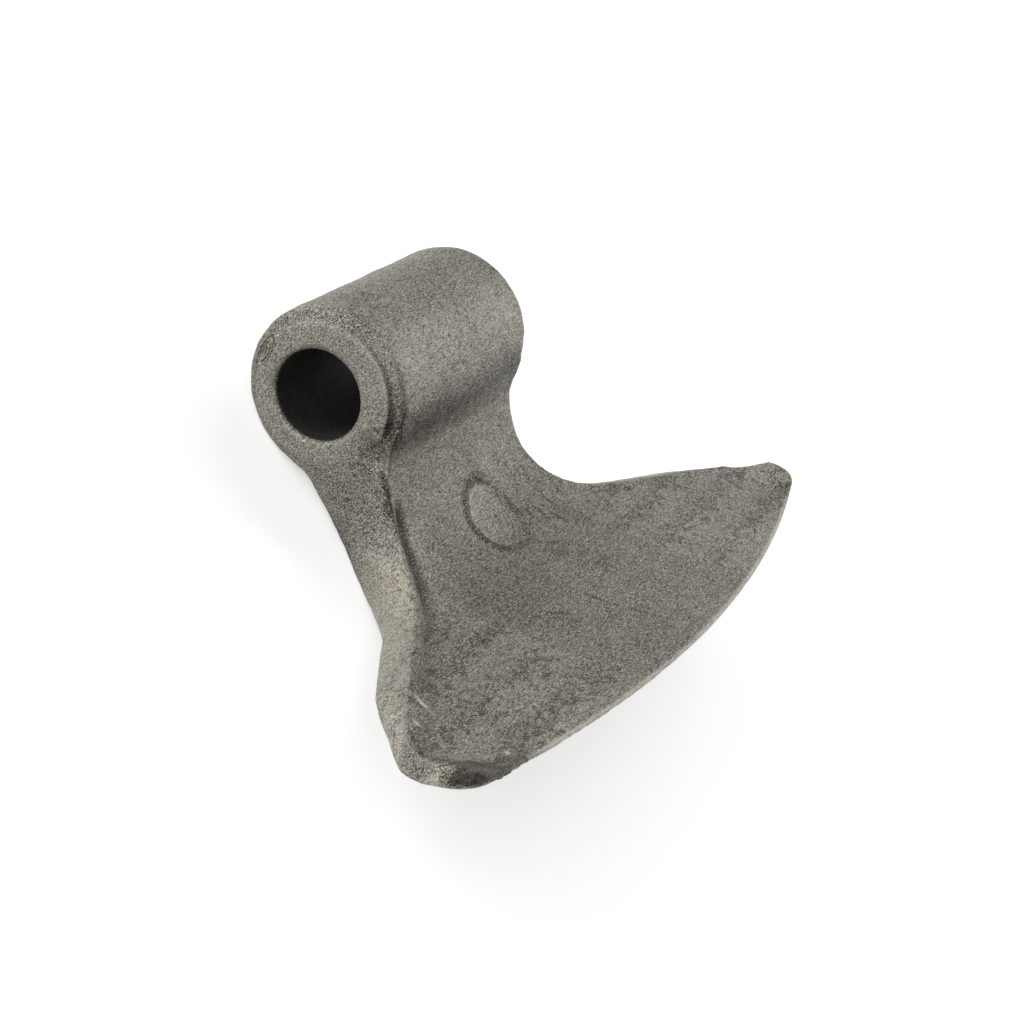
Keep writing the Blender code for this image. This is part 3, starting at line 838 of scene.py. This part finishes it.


# %% [markdown]
# ## Bore, hub and boss
# The bore lies in its own shade, so shade is painted into it and it is nearly black. The hub's
# faced ring is paler than the forged skin and has fine dark scratches that run outwards. The
# boss has a painted sheen along its top and painted shade on both sides of that. All of these
# follow the distance from the bore's line and the angle round it, which two formulas give, so
# nothing has to be cut into separate materials.

# %% Patterns round the bore
# Where the painted shade in the bore begins.
BORE_SHADE_OUT, BORE_SHADE_OUT_RUN = 0.15 * MM, 0.40 * MM       # beyond the bore's wall
BORE_MOUTH, BORE_DARK = 0.6 * MM, 1.5 * MM          # in from the hub's face
HUB_FACE, HUB_FACE_RUN = 0.3 * MM, 0.6 * MM
SPOKES, SPOKE_WAVER, SPOKE_RANGE = 75.0, 14.0, (0.45, 1.0)
SPOKE_MIDDLE, SPOKE_SPREAD = 0.35, 1.0              # radians round the bore
SPOKES_FROM, SPOKES_FULL = 4.0 * MM, 1.5 * MM       # in from the hub's rim
BOSS_SKIN_FROM, BOSS_SKIN_FULL = 16.0 * MM, 18.0 * MM
BOSS_SKIN_END_S = 4.0 * MM
# Painted sheen along the top of the boss and painted shade on both sides of it.
BOSS_SHEEN_AND_SHADE = ((1.35, 0.55, 0.18), (2.25, 0.60, -0.10), (0.45, 0.55, -0.14))   # angle, spread, tone


def round_the_bore(spot, s, mottle):
    """The painted shade in the bore, the hub's ring, the scratches on it and the painted sheen and
    shade round the boss, by the root of y squared plus z squared and the arc tangent of z over y,
    both from the bore's line."""
    x, y, z = spot.parts()
    y, z = y - float(BORE_LINE[1]), z - float(BORE_LINE[2])
    gap, from_middle, around = (y * y + z * z).root(), abs(x), spot.math("ARCTAN2", z, y)
    end = BOSS_LENGTH / 2
    # Painted shade in the bore.
    in_bore = gap.ramp(BORE_RADIUS + BORE_SHADE_OUT + BORE_SHADE_OUT_RUN, BORE_RADIUS + BORE_SHADE_OUT)
    in_bore = in_bore * from_middle.ramp(end - BORE_MOUTH, end - BORE_DARK)
    on_hub = from_middle.ramp(end - HUB_FACE - HUB_FACE_RUN, end - HUB_FACE)
    spokes = spot.math("SINE", around * SPOKES + mottle * SPOKE_WAVER).ramp(*SPOKE_RANGE)
    spokes = spokes * around.hill(SPOKE_MIDDLE, SPOKE_SPREAD) * on_hub
    spokes = spokes * gap.ramp(HUB_RADIUS - SPOKES_FROM, HUB_RADIUS - SPOKES_FULL)
    on_boss = gap.ramp(BOSS_SKIN_FROM, BOSS_SKIN_FULL) * s.ramp(BOSS_SKIN_END_S, 0.0)
    # Painted sheen and shade round the boss.
    sheen_and_shade = sum(around.hill(angle, spread) * tone for angle, spread, tone in BOSS_SHEEN_AND_SHADE)
    return in_bore, on_hub, spokes, sheen_and_shade * on_boss


# %% [markdown]
# A long dent sits at the rim of the near hub, with fine steps in it. It could be cut like the
# groove, but each step is only a few cells of the grid wide and would come out ragged. It is too
# shallow to change the outline, so it is a pattern here: an ellipse with rings.

# %% The dent on the hub
DENT_Y, DENT_Z = -50.0 * MM, 13.4 * MM   # on the floor
DENT_TURN = math.radians(20)
DENT_HALF = 5.2 * MM
DENT_SLIMNESS = 2.6
DENT_STEP = 1.5 * MM
DENT_FULL = 0.7               # share of its half length inside which it is full
DENT_FROM_X, DENT_FULL_X = 28.0 * MM, 30.0 * MM


def dent_on_hub(spot):
    """1 inside the dent, and the sine of the distance from its middle."""
    x, y, z = spot.parts()
    y, z = y - DENT_Y, z - DENT_Z
    across_dent = (y * math.cos(DENT_TURN) + z * math.sin(DENT_TURN)) * DENT_SLIMNESS
    along_dent = z * math.cos(DENT_TURN) - y * math.sin(DENT_TURN)
    gap = (across_dent * across_dent + along_dent * along_dent).root()
    dent = gap.ramp(DENT_HALF, DENT_FULL * DENT_HALF) * x.ramp(DENT_FROM_X, DENT_FULL_X)
    rings = gap.math("SINE", gap * (2 * math.pi / DENT_STEP)) * dent
    return dent, rings


# %% [markdown]
# ## Sides, slopes and edge
# The side of the hammer was sheared when the flash came off, so it is paler than the rest. It
# could have a material of its own, but a pattern has a soft end and needs no cut. Shade is
# painted into the steep slope inside the rim, the hollow under the boss, the neck's side under
# the hub and the underside of the near corner. A bright burr from grinding lies along the cutting
# edge. Each is placed by the length along the face, the distance inside the outline and the depth.

# %% Patterns of the sides, slopes and edge
# A range runs from where its pattern is 0 to where it is 1. A hill has a centre and a half width.
SIDE_RANGE, SIDE_S = (-0.1 * MM, -1.0 * MM), (16 * MM, 26 * MM)
# Painted shade on the neck's side under the hub.
NECK_SIDE_RANGE, NECK_SIDE_HILL = (0.0, -1.0 * MM), (20 * MM, 14 * MM)
# Painted shade in the steep slope inside the rim.
SLOPE_HILL, SLOPE_S, SLOPE_X = (2.8 * MM, 3.8 * MM), (15 * MM, 19 * MM), (10 * MM, -10 * MM)
SLOPE_LEAST, SLOPE_FULL_S = 0.3, (50 * MM, 30 * MM)
SEAM_HILL, SEAM_S_HILL, SEAM_DEPTH = (0.1 * MM, 0.5 * MM), (14 * MM, 14 * MM), (3 * MM, 1 * MM)
BURR_HILL, BURR_X = (0.5 * MM, 0.75 * MM), (86 * MM, 76 * MM)
# Painted shade on the underside of the near corner.
CORNER_X_RANGE, CORNER_S_RANGE = (-74 * MM, -82 * MM), (71 * MM, 74.5 * MM)
CORNER_DEPTH = (-0.1 * MM, -0.9 * MM)
# Painted shade in the hollow under the boss.
HOLLOW_S_HILL, HOLLOW_DEPTH_HILL = (0.5 * MM, 8.0 * MM), (0.0, 6.0 * MM)
DISH_S = (26 * MM, 48 * MM)


def sides_and_slopes(x, s, inside, deep, edge):
    """The sheared side, painted shade on the neck's side under the hub and in the slope, the seam of
    the dies, the burr, painted shade under the corner and in the hollow, and the dished face."""
    not_edge = 1.0 - edge
    on_side = inside.ramp(*SIDE_RANGE) * s.ramp(*SIDE_S) * not_edge
    # Painted shade on the neck's side under the hub.
    under_hub_shade = inside.ramp(*NECK_SIDE_RANGE) * s.hill(*NECK_SIDE_HILL)
    # Painted shade in the steep slope inside the rim.
    slope_shade = inside.hill(*SLOPE_HILL) * s.ramp(*SLOPE_S) * not_edge * x.ramp(*SLOPE_X)
    slope_shade = slope_shade * (SLOPE_LEAST + (1.0 - SLOPE_LEAST) * s.ramp(*SLOPE_FULL_S))
    seam = inside.hill(*SEAM_HILL) * s.hill(*SEAM_S_HILL) * not_edge * deep.ramp(*SEAM_DEPTH)
    burr = inside.hill(*BURR_HILL) * edge * abs(x).ramp(*BURR_X)
    # Painted shade on the underside of the near corner.
    corner = x.ramp(*CORNER_X_RANGE) * s.ramp(*CORNER_S_RANGE) * deep.ramp(*CORNER_DEPTH)
    # Painted shade in the hollow under the boss.
    in_hollow = s.hill(*HOLLOW_S_HILL) * deep.hill(*HOLLOW_DEPTH_HILL)
    on_dish = s.ramp(*DISH_S) * (1.0 - on_side)
    return on_side, under_hub_shade, slope_shade, seam, burr, corner, in_hollow, on_dish


# %% [markdown]
# ## Marks of making and handling
# Hammers lie in a heap before they are sold, and knock against each other. Bright streaks and
# burrs are left by such knocks, dark creases by folds of scale, and smudges by oily hands. They
# are short strokes and round spots, listed by their ends on the face. A random scatter would be
# shorter, but these stand where the photograph shows them.

# %% Places of the marks, in mm along x and s
STREAKS = [((-95.3, 73.0), (-92.5, 75.9)), ((-92.5, 75.9), (-85.0, 78.3)), ((-85.0, 78.3), (-77.0, 80.5)),
           ((-9.7, 62.7), (-11.6, 67.7)), ((4.9, 74.5), (8.5, 78.1)), ((-24.0, 52.0), (-21.0, 55.5)),
           ((28.0, 60.5), (33.0, 62.0)), ((-38.5, 71.0), (-36.0, 74.0))]
BURRS = [((-73.5, 52.8), (-75.8, 57.8)), ((-79.9, 76.4), (-80.9, 77.4)), ((-82.0, 57.5), (-83.0, 59.0))]
CREASES = [((-4.7, 60.0), (-4.7, 66.0)), ((-4.7, 66.0), (-4.0, 70.7)), ((-4.0, 70.7), (-2.8, 75.9)),
           ((-4.7, 66.0), (-10.2, 69.9)), ((21.7, 32.2), (22.1, 41.7)), ((28.6, 31.0), (29.2, 42.2)),
           ((25.0, 36.0), (25.6, 44.0)), ((10.0, 44.5), (14.5, 46.0)), ((-40.0, 50.0), (-44.0, 56.0)),
           ((-84.8, 57.4), (-90.1, 62.2)), ((-90.1, 62.2), (-94.6, 67.5)), ((-94.6, 67.5), (-95.4, 72.5)),
           ((17.4, 33.0), (18.5, 38.0)), ((46.0, 66.0), (52.0, 67.5)), ((-20.0, 58.0), (-16.0, 63.0))]
SMUDGES = [(-72.6, 73.6, 3.0), (9.7, 48.3, 2.2), (-66.0, 69.0, 2.0), (40.0, 70.0, 3.0)]   # and radius
print("Marks:", len(STREAKS + BURRS + CREASES), "strokes and", len(SMUDGES), "smudges")

# %% Patterns of the marks
STREAK_HALF, BURR_HALF, CREASE_HALF = 0.45 * MM, 0.8 * MM, 0.75 * MM
CREASE_WAVER_X, CREASE_WAVER_S = 3.0 * MM, 2.0 * MM
SMUDGE_WAVER = 3.0 * MM


def strokes(x, s, ends, half_width):
    """1 along short straight strokes, 0 away from them. The place along a stroke and beside it
    are the point's offset times the stroke's direction and its normal."""
    total = 0.0
    for pair in ends:
        (start_x, start_s), (end_x, end_s) = [[v * MM for v in end] for end in pair]
        length = math.hypot(end_x - start_x, end_s - start_s)
        run, fall = (end_x - start_x) / length, (end_s - start_s) / length
        along = (x - start_x) * run + (s - start_s) * fall
        beside = (x - start_x) * fall - (s - start_s) * run
        on_line = beside.hill(0.0, half_width)
        total = total + on_line * (along - length / 2).hill(0.0, length / 2 + half_width)
    return total


def marks_on_face(x, s, mottle, fibres):
    """Streaks, burrs, creases that waver with the skin, and smudges with a ragged rim."""
    wavy_x, wavy_s = x + (mottle - 0.5) * CREASE_WAVER_X, s + (fibres - 0.5) * CREASE_WAVER_S
    smudges = 0.0
    for smudge_x, smudge_s, radius in SMUDGES:
        off_x, off_s = x - smudge_x * MM, s - smudge_s * MM
        gap = (off_x * off_x + off_s * off_s).root()
        smudges = smudges + (gap + (mottle - 0.5) * SMUDGE_WAVER).ramp(radius * MM, 0.0)
    return (strokes(x, s, STREAKS, STREAK_HALF), strokes(x, s, BURRS, BURR_HALF),
            strokes(wavy_x, wavy_s, CREASES, CREASE_HALF), smudges)


# %% [markdown]
# The round pad on the face is blank here. Its disc is a step in the surface. Shade is painted into
# the corner at its lower left and a highlight onto its rim inside that, and there are faint arcs on
# its right half. They could be painted on a picture, but rings about the pad's middle need no
# unwrapping and stay sharp close up.

# %% Patterns of the pad
PAD_WAVER = 0.9 * MM
# Painted shade and a painted highlight at the pad's lower left.
PAD_SHADE_HILL, PAD_RIM_HILL = (PAD_RADIUS + 0.5 * MM, 2.3 * MM), (PAD_RADIUS - 1.6 * MM, 0.8 * MM)
PAD_LOW_RANGE, PAD_LOW_S = (3 * MM, -5 * MM), 0.6
PAD_ARC_STEP = 1.5 * MM
PAD_ARCS_OUT, PAD_ARCS_IN, PAD_ARCS_X = (PAD_RADIUS, 4 * MM), (1 * MM, 3 * MM), (0.0, 3 * MM)
PAD_DISC_RANGE = (PAD_RADIUS - 0.5 * MM, PAD_RADIUS - 2.0 * MM)


def pad_patterns(x, s, mottle):
    """Painted shade round the pad's lower left, a painted highlight on the rim inside it, the arcs
    and the disc, all by the distance from the pad's middle, which wavers with the skin."""
    pad_x, pad_s = x - PAD_X, s - PAD_S
    gap = (pad_x * pad_x + pad_s * pad_s).root() + (mottle - 0.5) * PAD_WAVER
    lower_left = (pad_x + pad_s * PAD_LOW_S).ramp(*PAD_LOW_RANGE)
    arcs = gap.math("SINE", gap * (2 * math.pi / PAD_ARC_STEP)) * gap.ramp(*PAD_ARCS_OUT)
    arcs = arcs * gap.ramp(*PAD_ARCS_IN) * pad_x.ramp(*PAD_ARCS_X)
    # Painted shade and a painted highlight on the pad's lower left.
    recess_shade, rim_light = gap.hill(*PAD_SHADE_HILL) * lower_left, gap.hill(*PAD_RIM_HILL) * lower_left
    return recess_shade, rim_light, arcs, gap.ramp(*PAD_DISC_RANGE)


# %% [markdown]
# ## The steel
# All patterns meet in one tone, from dark scale up to bright steel, and painted shade and
# highlights go into it as well. It is a recipe: each row is a share and the pattern it belongs
# to, above 0 for what is paler and below 0 for what is darker. The shade painted on the dark slope
# and under the near corner multiplies the tone instead, so that it also hides the grain. The tone
# mixes two warm greys. A trace of rust, painted glints and the shade painted in the bore come on top.

# %% Colours and sizes of the steel
# The dark end of the tone is also the colour of the painted shade.
SCALE_COLOUR = (0.018, 0.0155, 0.0115, 1.0)
STEEL_COLOUR = (0.375, 0.353, 0.297, 1.0)
RUST_COLOUR = (0.17, 0.125, 0.090, 1.0)
# Colour of the painted glints.
GLINT_COLOUR = (0.62, 0.60, 0.53, 1.0)
# Colour of the painted shade in the bore.
BORE_SHADE_COLOUR = (0.019, 0.021, 0.0185, 1.0)
DARKEST_TONE, PALEST_TONE = -0.15, 1.15
MEAN_TONE = 0.39
RUST_NOISE, RUST_RANGE, RUST_SHARE = (6.0 * MM, 3.0), (0.45, 0.75), 0.12
# The first range places painted shade in the hollows.
RECESS_SHADE_RANGE, CREST_RANGE = (0.04, 0.30), (-0.10, -0.45)   # of the hollowness kept with the mesh
METALLIC = 0.7
MEAN_ROUGHNESS = 0.50
BUMP_DISTANCE = 1.0 * MM


# %% Steel
def forged_steel():
    """The one material of the hammer."""
    material = bpy.data.materials.new("shot_blasted_steel")
    material.use_nodes = True
    tree = material.node_tree
    bsdf = tree.nodes["Principled BSDF"]
    start = Value(tree, None)
    spot = start.node("ShaderNodeTexCoord", "Object")
    x, s, inside = start.node("ShaderNodeAttribute", "Vector", {"attribute_name": "on_face"}).parts()
    edge, hollowed, deep = start.node("ShaderNodeAttribute", "Vector", {"attribute_name": "forging"}).parts()

    clouds, mottle, grain, fibres, glints, pits = skin_patterns(spot)
    in_bore, on_hub, spokes, boss_sheen_and_shade = round_the_bore(spot, s, mottle)
    dent, dent_rings = dent_on_hub(spot)
    on_side, under_hub_shade, slope_shade, seam, burr, corner, in_hollow, on_dish = sides_and_slopes(
        x, s, inside, deep, edge)
    streaks, burrs, creases, smudges = marks_on_face(x, s, mottle, fibres)
    pad_shade, pad_rim_highlight, pad_arcs, pad_disc = pad_patterns(x, s, mottle)
    # Painted shade in the hollows, and pale crests.
    recess_shade, crest = hollowed.ramp(*RECESS_SHADE_RANGE), hollowed.ramp(*CREST_RANGE)

    # Among the rows, painted shade lies at the pad's lower left, in the hollows, under the hub, in the
    # hollow under the boss and under the near corner; a painted highlight lies on the pad's rim, and painted
    # sheen and shade round the boss.
    recipe = [(0.36, clouds - 0.5), (0.42, mottle - 0.5), (3.0, grain - 0.5), (2.2, fibres - 0.5),
              (0.16, on_side), (0.25, streaks), (0.5, burrs), (0.55, burr), (0.20, crest),
              (0.25, pad_rim_highlight), (0.20, pad_arcs), (0.10, pad_disc), (-0.75, pad_shade),
              (-0.16, smudges), (-0.20, pits), (-0.17, recess_shade), (-0.5, seam), (-0.55, creases),
              (-0.14, dent), (0.26, dent_rings), (0.13, on_hub), (-0.35, spokes), (1.0, boss_sheen_and_shade),
              (-0.06, corner), (-0.34, in_hollow), (-0.12, on_dish), (-0.22, under_hub_shade)]
    tone = MEAN_TONE + sum(share * pattern for share, pattern in recipe)
    # Painted shade on the slope inside the rim and under the near corner.
    tone = tone * (1.0 - slope_shade * 0.85) * (1.0 - corner * 0.65)
    colour = tone.ramp(DARKEST_TONE, PALEST_TONE).mix(SCALE_COLOUR, STEEL_COLOUR)
    rust = spot.noise(*RUST_NOISE).ramp(*RUST_RANGE)
    colour = (rust * RUST_SHARE).mix(colour, RUST_COLOUR)
    # Painted glints, fewer where shade is painted, and the burrs.
    glints_and_burrs = glints * (0.62 - corner * 0.5 - slope_shade * 0.3) + burrs * 0.6
    colour = glints_and_burrs.mix(colour, GLINT_COLOUR)
    # Painted shade in the bore.
    colour = (in_bore * (0.99 - grain * 0.14)).mix(colour, BORE_SHADE_COLOUR)
    tree.links.new(colour.socket, bsdf.inputs["Base Color"])

    bsdf.inputs["Metallic"].default_value = METALLIC
    rough = MEAN_ROUGHNESS - (grain - 0.5) * 0.6 - glints * 0.2 - burr * 0.1 + in_bore * 0.15
    tree.links.new(rough.socket, bsdf.inputs["Roughness"])
    height = grain * 0.15 + fibres * 0.18 + mottle * 0.22 - pits * 0.05 + burrs * 0.25 + dent_rings * 0.16
    bump = start.node("ShaderNodeBump", "Normal", None,
                      {"Strength": 1.0, "Distance": BUMP_DISTANCE, "Height": height})
    tree.links.new(bump.socket, bsdf.inputs["Normal"])
    print("Shader nodes:", len(tree.nodes))
    return material


hammer.data.materials.append(forged_steel())

# %% [markdown]
# ## Floor and light
# The photograph was taken on white with hardly a shadow. A pale floor that also glows a little
# gives that in one render. A shadow catcher would do it too, but needs a white laid under it
# afterwards. Four wide suns light it: a low one from in front of the boss, which leaves the
# hollow in shade, one from the camera's side, one from the far side and one from behind, which
# gives the crests their sheen. Suns light the whole floor alike, so it has no visible end.

# %% Floor
FLOOR_HALF = 6.0
FLOOR_SETTINGS = {"Base Color": (0.60, 0.60, 0.60, 1.0), "Roughness": 0.9, "Specular IOR Level": 0.0,
                  "Emission Color": (1.0, 1.0, 1.0, 1.0), "Emission Strength": 0.53}

floor_mesh = bpy.data.meshes.new("floor")
floor_corners = [(x * FLOOR_HALF, y * FLOOR_HALF, 0.0) for x, y in ((-1, -1), (1, -1), (1, 1), (-1, 1))]
floor_mesh.from_pydata(floor_corners, [], [(0, 1, 2, 3)])
floor = bpy.data.objects.new("floor", floor_mesh)
bpy.context.scene.collection.objects.link(floor)
pale = bpy.data.materials.new("pale_floor")
pale.use_nodes = True
for name, value in FLOOR_SETTINGS.items():
    pale.node_tree.nodes["Principled BSDF"].inputs[name].default_value = value
floor_mesh.materials.append(pale)
print("Floor in m:", 2 * FLOOR_HALF)

# %% Lights
def soft_light(name, azimuth, elevation, softness, strength):
    """Wide sun that shines on the hammer; azimuth 0 is in front of the boss, 90 on the camera's
    side, and softness is the width of its disc. Angles are in degrees, strength in W/m2."""
    azimuth, elevation = math.radians(azimuth), math.radians(elevation)
    way = Vector((math.sin(azimuth) * math.cos(elevation),
                  -math.cos(azimuth) * math.cos(elevation), math.sin(elevation)))
    lamp = bpy.data.lights.new(name, "SUN")
    lamp.angle = math.radians(softness)
    lamp.energy = strength
    lit = bpy.data.objects.new(name, lamp)
    lit.matrix_world = Matrix.Translation(way) @ way.to_track_quat("Z", "Y").to_matrix().to_4x4()
    bpy.context.scene.collection.objects.link(lit)
    print(name, "in W/m2:", strength)


soft_light("key_light", azimuth=20, elevation=18, softness=35, strength=2.3)
soft_light("camera_side_light", azimuth=74, elevation=38, softness=45, strength=1.35)
soft_light("far_side_light", azimuth=-60, elevation=45, softness=45, strength=0.9)
soft_light("back_light", azimuth=-112, elevation=30, softness=35, strength=1.35)

# %% [markdown]
# ## Surroundings
# The surroundings are white at the horizon, where the floor ends in them, and darker overhead,
# so that the steel keeps its contrast. One even white would wash it out. The height of the
# direction in which one looks sets the strength. The plain view transform keeps white as white.

# %% Surroundings, white at the horizon and darker overhead
HORIZON, OVERHEAD = 0.04, 0.40       # heights of the direction, where 1 is straight up
OVERHEAD_STRENGTH, HORIZON_EXTRA = 0.08, 0.87
world = bpy.data.worlds.new("studio")
world.use_nodes = True
sky_height = Value(world.node_tree, None).node("ShaderNodeTexCoord", "Object").parts()[2]
strength = OVERHEAD_STRENGTH + HORIZON_EXTRA * sky_height.ramp(OVERHEAD, HORIZON)
background = world.node_tree.nodes["Background"]
background.inputs["Color"].default_value = (1.0, 1.0, 1.0, 1.0)
world.node_tree.links.new(strength.socket, background.inputs["Strength"])
bpy.context.scene.world = world
bpy.context.scene.view_settings.view_transform = "Standard"
print("World strength from", OVERHEAD_STRENGTH, "to", OVERHEAD_STRENGTH + HORIZON_EXTRA)

bpy.context.view_layer.update()
